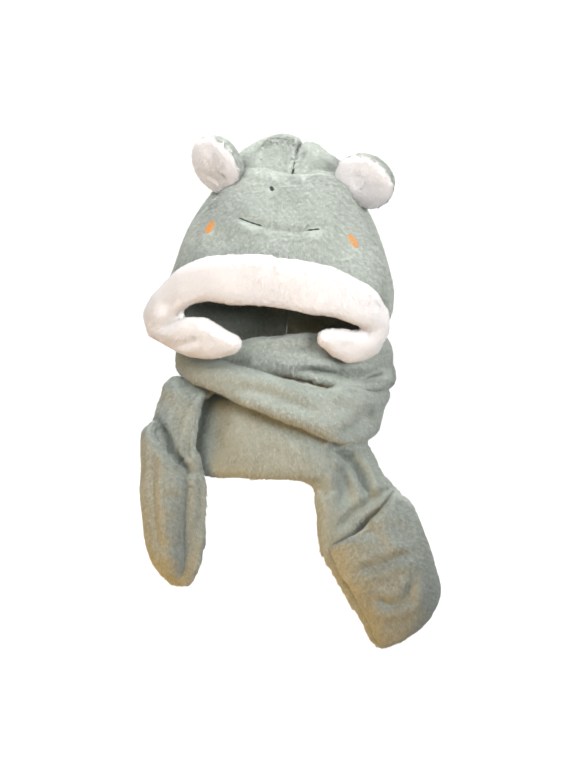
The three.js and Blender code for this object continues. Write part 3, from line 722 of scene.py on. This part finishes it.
def blade_lengths(random, roots, whole, worn_spots):
    """How long each blade is: uneven, and short where the pile is worn off round the stitches."""
    uneven = LENGTH_LUMPS * lumps(roots, LENGTH_LUMP_SIZE, LENGTH_SEED)
    lengths = whole * (LENGTH_MEAN + uneven + random.uniform(-LENGTH_CHANCE, LENGTH_CHANCE, len(roots)))
    gap = np.min(np.linalg.norm(roots[:, None] - worn_spots[None], axis=2), axis=1)
    return lengths * np.clip(WORN_LENGTH + (gap - WORN_GAP * MM) / (WORN_FADE * MM), WORN_LENGTH, 1)


def blade_corners(random, roots, up, ways, lengths, width):
    """The corners of each blade, root, root and tip, facing out, and the normal it is shaded with."""
    sides = unit(np.cross(ways, up + SIDE_CHANCE * random.normal(size=roots.shape)))
    half = sides * (width / 2 * random.uniform(*WIDTH_SHARES, len(roots)))[:, None]
    sunk = roots - up * ROOT_SUNK * MM
    tips = roots + ways * lengths[:, None]
    corners = np.stack([sunk - half, sunk + half, tips], 1)
    faces = across_faces(corners)
    inward = (faces * up).sum(1) < 0
    corners[inward] = corners[inward][:, [1, 0, 2]]
    faces[inward] *= -1
    return corners, unit(up + unit(faces) * FACE_SHADING)


def blade_tones(random, roots, slot):
    """The tone of each blade: a random tone, with painted shade in short lines as where the pile parts.
    """
    uneven = TONE_LUMPS * lumps(roots, TONE_LUMP_SIZE, TONE_SEED)
    tones = TONE_MEAN + uneven + random.normal(size=len(roots)) * TONE_CHANCE
    parting_shade = lumps(roots * np.array(PARTING_SHAPE), PARTING_SIZE, PARTING_SEED, FINE_WAVES)
    return tones - PARTING_SHADE[slot] * np.clip(parting_shade, *PARTING_LIMITS)


def blade_map(random, chosen_uv, weights):
    """Each blade's corners on the map: at its root, a little way across the root's own face."""
    moves = random.uniform(*MAP_SHARES, weights.shape)
    blade_uv = np.empty((len(weights), 3, 2))
    for corner in range(3):
        shifted = weights * (1 - moves[:, corner:corner + 1])
        shifted[:, corner] += moves[:, corner]
        blade_uv[:, corner] = (chosen_uv * shifted[:, :, None]).sum(1)
    return blade_uv


# Blades of pile: the corners, shading normal, tone and map places of each.
Blades = namedtuple("Blades", "corners normals tones uv")


def grow_pile(piece, pad, tree, worn_spots, plush):
    """Cover a padded piece with blades of pile, one triangle each, in the same mesh."""
    random = np.random.default_rng(plush.seed + len(piece.name))
    base_uv = unwrap(piece)
    vertices, loops = triangles_of(piece.data)
    places = points_of(piece.data)
    normals = unit(normals_of(piece.data))
    areas = np.linalg.norm(across_faces(places[vertices]), axis=1) / 2
    openly = np.clip(openness(piece, tree) * OPEN_GAIN, 0, 1)
    weight = areas * (HIDDEN_PILE + (1 - HIDDEN_PILE) * openly)
    count = min(int(weight.sum() / MM ** 2 * pad.blades), MOST_FACES - len(vertices))
    chosen, weights = scatter(random, weight, count)

    def spread(values):
        return (values[vertices[chosen]] * weights[:, :, None]).sum(1)

    roots = spread(places)
    up = unit(spread(normals))
    flow = unit(spread(flow_of(places, normals, piece.name)))
    whole = plush.white_pile if pad.slot == "white_plush" else plush.sage_pile
    ways = blade_ways(random, roots, up, flow)
    lengths = blade_lengths(random, roots, whole, worn_spots)
    corners, shading = blade_corners(random, roots, up, ways, lengths, plush.blade_width)
    tones = blade_tones(random, roots, pad.slot)
    uv = blade_map(random, base_uv[loops[chosen]], weights)
    join_blades(piece, normals, base_uv, Blades(corners, shading, tones, uv))


def join_blades(piece, normals, base_uv, blades):
    """Put the blades into the piece's mesh, with their map, tone and soft shading."""
    old = piece.data
    places = points_of(old)
    loop_vertices = np.empty(len(old.loops), np.int32)
    old.loops.foreach_get("vertex_index", loop_vertices)
    starts = np.empty(len(old.polygons), np.int32)
    old.polygons.foreach_get("loop_start", starts)
    count = len(blades.corners)
    first = len(places)
    mesh = bpy.data.meshes.new(piece.name)
    mesh.vertices.add(first + count * 3)
    mesh.vertices.foreach_set("co", np.concatenate([places, blades.corners.reshape(-1, 3)]).ravel())
    blade_vertices = first + np.arange(count * 3, dtype=np.int32)
    mesh.loops.add(len(loop_vertices) + count * 3)
    mesh.loops.foreach_set("vertex_index", np.concatenate([loop_vertices, blade_vertices]))
    mesh.polygons.add(len(starts) + count)
    blade_starts = len(loop_vertices) + 3 * np.arange(count, dtype=np.int32)
    mesh.polygons.foreach_set("loop_start", np.concatenate([starts, blade_starts]))
    mesh.polygons.foreach_set("use_smooth", np.ones(len(starts) + count, bool))
    mesh.update(calc_edges=True)
    layer = mesh.uv_layers.new(name="OFBake")
    layer.uv.foreach_set("vector", np.concatenate([base_uv, blades.uv.reshape(-1, 2)]).ravel())
    tone = mesh.attributes.new("pile_tone", "FLOAT", "POINT")
    # Painted shade on the cloth and the blades' roots, a painted highlight on their tips
    corner_shade_and_highlight = blades.tones[:, None] + np.array(CORNER_SHADE_AND_HIGHLIGHT)
    tone.data.foreach_set("value", np.concatenate([np.full(first, CLOTH_SHADE_TONE), corner_shade_and_highlight.ravel()]))
    blade_normals = np.repeat(blades.normals, 3, axis=0)
    rise = mesh.attributes.new("pile_rise", "FLOAT_VECTOR", "POINT")
    rise.data.foreach_set("vector", np.concatenate([normals, blade_normals]).ravel())
    loop_normals = np.concatenate([normals[loop_vertices], blade_normals])
    mesh.normals_split_custom_set(loop_normals.tolist())
    name = old.name
    piece.data = mesh
    bpy.data.meshes.remove(old)
    mesh.name = name


def add_node(material, kind, values=None, links=None, **settings):
    """A node with its settings, its sockets' values and the links into it."""
    node = material.node_tree.nodes.new(kind)
    for key, value in settings.items():
        setattr(node, key, value)
    for socket, value in (values or {}).items():
        node.inputs[socket].default_value = value
    for socket, source in (links or {}).items():
        material.node_tree.links.new(source, node.inputs[socket])
    return node


def new_material(name):
    material = bpy.data.materials.new(name)
    material.use_nodes = True
    material.node_tree.nodes.clear()
    return material


def add_noise(material, place, size, detail, contrast):
    """Spots of a size over the object's own space, and the tone that they add or take."""
    noise = add_node(
        material,
        "ShaderNodeTexNoise",
        {"Scale": 1 / size, "Detail": detail, "Roughness": 0.6},
        {"Vector": place.outputs["Object"]},
    )
    tone = add_node(
        material,
        "ShaderNodeMath",
        {1: contrast, 2: -contrast / 2},
        {0: noise.outputs["Fac"]},
        operation="MULTIPLY_ADD",
    )
    return noise, tone


def plush_material(name, deep, light):
    """Polyester cut-pile plush with matt tips: painted shade between the tufts and a painted highlight
    on the tips, over a random tone.
    """
    material = new_material(name)
    place = add_node(material, "ShaderNodeTexCoord")
    tone = add_node(material, "ShaderNodeAttribute", attribute_name="pile_tone")
    # Painted light and shade: broad patches, and fine strands that are lighter where the bump raises
    # them
    _, patch_light_and_shade = add_noise(material, place, PATCH_SIZE, 3.0, PATCH_CONTRAST)
    strands, strand_light_and_shade = add_noise(material, place, STRAND_SIZE, 2.0, STRAND_CONTRAST)
    both = add_node(
        material, "ShaderNodeMath", {}, {0: patch_light_and_shade.outputs[0], 1: strand_light_and_shade.outputs[0]}
    )
    level = add_node(material, "ShaderNodeMath", {}, {0: both.outputs[0], 1: tone.outputs["Fac"]})
    # From the deep colour to the light one: random tone with painted shade and painted highlight
    shade = add_node(
        material,
        "ShaderNodeMix",
        {"A": (*deep, 1), "B": (*light, 1)},
        {"Factor": level.outputs[0]},
        data_type="RGBA",
        clamp_factor=True,
    )
    # A tuft takes the light as the pile round it does, whichever of its sides is seen
    rise = add_node(material, "ShaderNodeAttribute", attribute_name="pile_rise")
    relief = add_node(
        material,
        "ShaderNodeBump",
        {"Strength": 0.3, "Distance": 0.5 * MM},
        {"Height": strands.outputs["Fac"], "Normal": rise.outputs["Vector"]},
    )
    fibre = add_node(
        material,
        "ShaderNodeBsdfPrincipled",
        {
            "Roughness": 0.9,
            "Sheen Weight": 0.25,
            "Sheen Roughness": 0.5,
            "Specular IOR Level": 0.2,
        },
        {"Base Color": shade.outputs["Result"], "Normal": relief.outputs["Normal"]},
    )
    add_node(material, "ShaderNodeOutputMaterial", {}, {"Surface": fibre.outputs["BSDF"]})
    return material


def thread_material(name, colour):
    """Rayon embroidery thread: twisted, so each stitch has fine slanted lines of painted shade in its
    grooves and a soft gloss.
    """
    material = new_material(name)
    place = add_node(material, "ShaderNodeTexCoord")
    twist = add_node(
        material,
        "ShaderNodeTexWave",
        {"Scale": 1 / (1.6 * MM), "Distortion": 1.5, "Detail": 1.0},
        {"Vector": place.outputs["Object"]},
        bands_direction="DIAGONAL",
    )
    # The twist's grooves are painted in shadow, THREAD_SHADOW of the thread's colour
    dark = tuple(THREAD_SHADOW * part for part in colour)
    shade = add_node(
        material,
        "ShaderNodeMix",
        {"A": (*dark, 1), "B": (*colour, 1)},
        {"Factor": twist.outputs["Fac"]},
        data_type="RGBA",
    )
    relief = add_node(
        material,
        "ShaderNodeBump",
        {"Strength": 0.5, "Distance": 0.2 * MM},
        {"Height": twist.outputs["Fac"]},
    )
    fibre = add_node(
        material,
        "ShaderNodeBsdfPrincipled",
        {"Roughness": 0.5, "Sheen Weight": 0.1},
        {"Base Color": shade.outputs["Result"], "Normal": relief.outputs["Normal"]},
    )
    add_node(material, "ShaderNodeOutputMaterial", {}, {"Surface": fibre.outputs["BSDF"]})
    return material


def front_place(tree, seen):
    """The place and normal of the front gore that is seen at a point of the view."""
    across = (seen[0] - VIEW_WIDTH / 2) * MM
    up = (VIEW_HEIGHT / 2 - seen[1]) * MM
    eye = VIEW_TARGET + Vector(toward_view()) * VIEW_DISTANCE
    raised = Vector((0, math.sin(VIEW_ELEVATION), math.cos(VIEW_ELEVATION)))
    aim = VIEW_TARGET + Vector((across, 0, 0)) + raised * up
    place, normal, _, _ = tree.ray_cast(eye, (aim - eye).normalized())
    if place is None:
        raise ValueError(f"the front gore isn't seen at {seen}")
    return place, normal


def tree_of(*pieces):
    """One search tree over the faces of these pieces."""
    every_place = []
    every_face = []
    for piece in pieces:
        first = len(every_place)
        every_place.extend(vertex.co.copy() for vertex in piece.data.vertices)
        every_face.extend([first + index for index in face.vertices] for face in piece.data.polygons)
    return BVHTree.FromPolygons(every_place, every_face)


def one_stitch(length, thick):
    """A single stitch along X round the origin: a thread that is thickest in its middle."""
    bpy.ops.object.select_all(action="DESELECT")
    bpy.ops.mesh.primitive_cylinder_add(
        vertices=8, radius=thick / 2, depth=length, rotation=(0, math.pi / 2, 0)
    )
    stitch = bpy.context.active_object
    bpy.ops.object.transform_apply(location=True, rotation=True, scale=True)
    mesh = bmesh.new()
    mesh.from_mesh(stitch.data)
    for cut in STITCH_CUTS:
        everything = mesh.verts[:] + mesh.edges[:] + mesh.faces[:]
        place = (length * cut, 0, 0)
        bmesh.ops.bisect_plane(mesh, geom=everything, plane_co=place, plane_no=(1, 0, 0))
    for vertex in mesh.verts:
        share = abs(vertex.co.x) / (length / 2)
        shrink = math.sqrt(max(STITCH_END, 1 - share ** 3))
        vertex.co.y *= shrink
        vertex.co.z *= shrink
    mesh.to_mesh(stitch.data)
    mesh.free()
    for face in stitch.data.polygons:
        face.use_smooth = True
    return stitch


def lay_stitch(tree, start, end, thick, raise_by):
    """A stitch on the front gore between two points of the view."""
    first, first_normal = front_place(tree, start)
    last, last_normal = front_place(tree, end)
    along = last - first
    stitch = one_stitch(along.length, thick)
    up = (first_normal + last_normal).normalized()
    side = up.cross(along).normalized()
    up = along.cross(side).normalized()
    middle = (first + last) / 2 + up * raise_by
    way = along.normalized()
    for vertex in stitch.data.vertices:
        place = vertex.co.copy()
        bow = (1 - (2 * place.x / along.length) ** 2) * thick * STITCH_BOW
        vertex.co = middle + way * place.x + side * place.y + up * (place.z + bow)
    return stitch


def join_stitches(name, stitches, material, slot, *nodes):
    """One piece made of these stitches, in place of its nodes."""
    pick(*stitches)
    bpy.ops.object.join()
    piece = bpy.context.active_object
    piece.name = name
    piece.data.name = name
    piece.data.materials.clear()
    piece.data.materials.append(material)
    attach(piece, "root")
    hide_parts(*nodes)
    return piece


def make_mark(name, mark, tree, material, thread):
    """A satin-stitched oval: threads side by side, as long as the oval is wide there."""
    lean = math.radians(mark.lean)
    across = Vector((math.cos(lean), math.sin(lean)))
    down = Vector((-math.sin(lean), math.cos(lean)))
    centre = Vector(mark.centre)
    stitches = []
    for index in range(mark.threads):
        share = (2 * index + 1) / mark.threads - 1
        half = mark.wide / 2 * math.sqrt(1 - share * share)
        middle = centre + down * (share * mark.high / 2)
        # Each thread slants a little, and they end unevenly
        slant = down * THREAD_SLANT
        uneven = THREAD_UNEVEN * math.sin(index * UNEVEN_TURN)
        start = middle - across * (half + uneven) - slant
        end = middle + across * (half - uneven) + slant
        stitches.append(lay_stitch(tree, start, end, thread, mark.raised * MM))
    return join_stitches(name, stitches, material, mark.slot, mark.node)


def make_mouth(tree, material, stitching):
    """The mouth: a row of long stitches that run into each other, the middle ones deep in the pile."""
    line = np.array(MOUTH_LINE, float)
    lengths = np.concatenate([[0], np.cumsum(np.linalg.norm(np.diff(line, axis=0), axis=1))])
    count = round(lengths[-1] * MM / stitching.mouth_stitch)
    marks = np.linspace(0, lengths[-1], count + 1)
    across = np.interp(marks, lengths, line[:, 0])
    down = np.interp(marks, lengths, line[:, 1])
    stitches = []
    for index in range(count):
        start = (across[index], down[index])
        end = (across[index + 1] + MOUTH_OVERLAP, down[index + 1])
        covered = MOUTH_COVERED[0] < (across[index] + across[index + 1]) / 2 < MOUTH_COVERED[1]
        raised = (MOUTH_SUNK if covered else MOUTH_RAISED) * MM
        stitches.append(lay_stitch(tree, start, end, stitching.mouth_thread, raised))
    return join_stitches("mouth_stitch", stitches, material, "dark_thread", "mouth")


class PieceOperator:
    """What the operators that make pieces share"""

    bl_options = {"REGISTER", "UNDO"}

    def make_all(self, pads):
        for name, pad in pads.items():
            make_padded(name, pad)
        return {"FINISHED"}


class HOODSCARF_OT_gores(PieceOperator, bpy.types.Operator):
    """Make the hood's front gore and its two crown gores"""

    bl_idname = "hoodscarf.gores"
    bl_label = "Hood gores"

    def execute(self, context):
        return self.make_all(GORES)


class HOODSCARF_OT_cuff(PieceOperator, bpy.types.Operator):
    """Make the padded white cuff round the face opening"""

    bl_idname = "hoodscarf.cuff"
    bl_label = "Face cuff"

    def execute(self, context):
        return self.make_all(CUFFS)


class HOODSCARF_OT_ears(PieceOperator, bpy.types.Operator):
    """Make the lining and the shell of both ears"""

    bl_idname = "hoodscarf.ears"
    bl_label = "Ears"

    def execute(self, context):
        return self.make_all(EARS)


class HOODSCARF_OT_scarf(PieceOperator, bpy.types.Operator):
    """Make both halves of the wound scarf"""

    bl_idname = "hoodscarf.scarf"
    bl_label = "Scarf"

    def execute(self, context):
        return self.make_all(SCARF_BANDS)


class HOODSCARF_OT_pockets(PieceOperator, bpy.types.Operator):
    """Make the hand pockets on the scarf's ends"""

    bl_idname = "hoodscarf.pockets"
    bl_label = "Hand pockets"

    def execute(self, context):
        return self.make_all(POCKETS)


class HOODSCARF_OT_face_marks(PieceOperator, bpy.types.Operator):
    """Stitch the nostrils, the mouth and the cheeks on the front gore"""

    bl_idname = "hoodscarf.face_marks"
    bl_label = "Face marks"

    def execute(self, context):
        stitching = context.scene.hood_stitching
        tree = tree_of(bpy.data.objects["front_gore"])
        threads = {
            "dark_thread": thread_material("Rayon thread, dark", stitching.dark),
            "orange_thread": thread_material("Rayon thread, orange", stitching.orange),
        }
        for name, mark in MARKS.items():
            make_mark(name, mark, tree, threads[mark.slot], stitching.thread)
        make_mouth(tree, threads["dark_thread"], stitching)
        return {"FINISHED"}


class HOODSCARF_OT_pile(PieceOperator, bpy.types.Operator):
    """Cover the padded pieces with their pile and plush"""

    bl_idname = "hoodscarf.pile"
    bl_label = "Pile"

    def execute(self, context):
        plush = context.scene.hood_plush
        materials = {
            "sage_plush": plush_material("Polyester plush, sage", plush.sage_deep, plush.sage_light),
            "white_plush": plush_material("Polyester plush, white", plush.white_deep, plush.white_light),
        }
        padded = {name: bpy.data.objects[name] for name in PADDED}
        tree = tree_of(*padded.values())
        gore_tree = tree_of(padded["front_gore"])
        worn_spots = np.array([front_place(gore_tree, spot)[0] for spot in WORN_SPOTS])
        for name, piece in padded.items():
            grow_pile(piece, PADDED[name], tree, worn_spots, plush)
            piece.data.materials.append(materials[PADDED[name].slot])
        return {"FINISHED"}


class HOODSCARF_OT_stage(PieceOperator, bpy.types.Operator):
    """Set the floor, the lights and the camera"""

    bl_idname = "hoodscarf.stage"
    bl_label = "Stage"

    def execute(self, context):
        stage = context.scene.hood_stage
        self.add_floor(stage)
        self.add_lights(context.scene, stage)
        self.add_camera(context.scene)
        return {"FINISHED"}

    def add_floor(self, stage):
        bpy.ops.object.select_all(action="DESELECT")
        bpy.ops.mesh.primitive_grid_add(
            x_subdivisions=4, y_subdivisions=40, size=FLOOR_SIZE, location=(0, 0, stage.floor_level)
        )
        floor = bpy.context.active_object
        floor.name = "floor"
        # Far behind, the floor rises in a wide curve
        for vertex in floor.data.vertices:
            beyond = max(0, vertex.co.y - RISE_START)
            vertex.co.z += RISE_CLIMB * beyond ** 2
            vertex.co.y -= RISE_DRAW * beyond
        for face in floor.data.polygons:
            face.use_smooth = True
        material = new_material("Matt backdrop paper")
        place = add_node(material, "ShaderNodeTexCoord")
        parts = add_node(material, "ShaderNodeSeparateXYZ", {}, {0: place.outputs["Object"]})
        # Lamps of its own light the paper far behind as white as it is under the hood
        glow = add_node(
            material,
            "ShaderNodeMapRange",
            {"From Min": GLOW_START, "From Max": GLOW_FULL, "To Min": 0.0, "To Max": 1.0},
            {"Value": parts.outputs["Y"]},
        )
        paper = add_node(
            material,
            "ShaderNodeBsdfPrincipled",
            {
                "Base Color": (*stage.floor, 1),
                "Roughness": 0.95,
                "Specular IOR Level": 0.1,
                "Emission Color": (*stage.floor, 1),
            },
            {"Emission Strength": glow.outputs["Result"]},
        )
        add_node(material, "ShaderNodeOutputMaterial", {}, {"Surface": paper.outputs["BSDF"]})
        floor.data.materials.append(material)

    def add_lights(self, scene, stage):
        world = bpy.data.worlds.new("Daylight")
        world.use_nodes = True
        background = world.node_tree.nodes["Background"]
        background.inputs["Color"].default_value = (1, 1, 1, 1)
        background.inputs["Strength"].default_value = stage.daylight
        scene.world = world
        scene.view_settings.view_transform = "Standard"
        for lamp in LAMPS:
            data = bpy.data.lights.new(lamp.name, "AREA")
            data.size = lamp.size
            data.energy = stage.key_light * lamp.share
            data.spread = math.radians(lamp.spread)
            data.color = linear(lamp.colour)
            light = bpy.data.objects.new(lamp.name, data)
            light.location = lamp.place
            aim = Vector((0, 0, lamp.aim)) - light.location
            light.rotation_euler = aim.to_track_quat("-Z", "Y").to_euler()
            scene.collection.objects.link(light)

    def add_camera(self, scene):
        data = bpy.data.cameras.new("camera")
        data.sensor_fit = "HORIZONTAL"
        data.sensor_width = SENSOR_WIDTH
        data.lens = data.sensor_width * VIEW_DISTANCE / (VIEW_WIDTH * MM)
        data.clip_end = VIEW_REACH
        camera = bpy.data.objects.new("camera", data)
        camera.location = VIEW_TARGET + Vector(toward_view()) * VIEW_DISTANCE
        camera.rotation_euler = (math.pi / 2 - VIEW_ELEVATION, 0, 0)
        scene.collection.objects.link(camera)
        scene.camera = camera


MAKERS = (
    HOODSCARF_OT_gores,
    HOODSCARF_OT_cuff,
    HOODSCARF_OT_ears,
    HOODSCARF_OT_scarf,
    HOODSCARF_OT_pockets,
    HOODSCARF_OT_face_marks,
    HOODSCARF_OT_pile,
    HOODSCARF_OT_stage,
)
SETTINGS = {
    "hood_plush": PlushSettings,
    "hood_padding": PaddingSettings,
    "hood_stitching": StitchSettings,
    "hood_stage": StageSettings,
}


class HOODSCARF_PT_panel(bpy.types.Panel):
    """Sizes, colours and steps of the hood scarf"""

    bl_label = "Hood Scarf"
    bl_space_type = "VIEW_3D"
    bl_region_type = "UI"
    bl_category = "Hood Scarf"

    def draw(self, context):
        for name, group in SETTINGS.items():
            box = self.layout.box()
            box.label(text=group.__doc__)
            for key in group.__annotations__:
                box.prop(getattr(context.scene, name), key)
        for maker in MAKERS:
            self.layout.operator(maker.bl_idname)


def register():
    for item in (*SETTINGS.values(), *MAKERS, HOODSCARF_PT_panel):
        bpy.utils.register_class(item)
    for name, group in SETTINGS.items():
        setattr(bpy.types.Scene, name, PointerProperty(type=group))


def unregister():
    for name in SETTINGS:
        delattr(bpy.types.Scene, name)
    for item in reversed((*SETTINGS.values(), *MAKERS, HOODSCARF_PT_panel)):
        bpy.utils.unregister_class(item)


def main():
    register()
    bpy.ops.hoodscarf.gores()
    bpy.ops.hoodscarf.cuff()
    bpy.ops.hoodscarf.ears()
    bpy.ops.hoodscarf.scarf()
    bpy.ops.hoodscarf.pockets()
    bpy.ops.hoodscarf.face_marks()
    bpy.ops.hoodscarf.pile()
    bpy.ops.hoodscarf.stage()


if __name__ == "__main__":
    main()
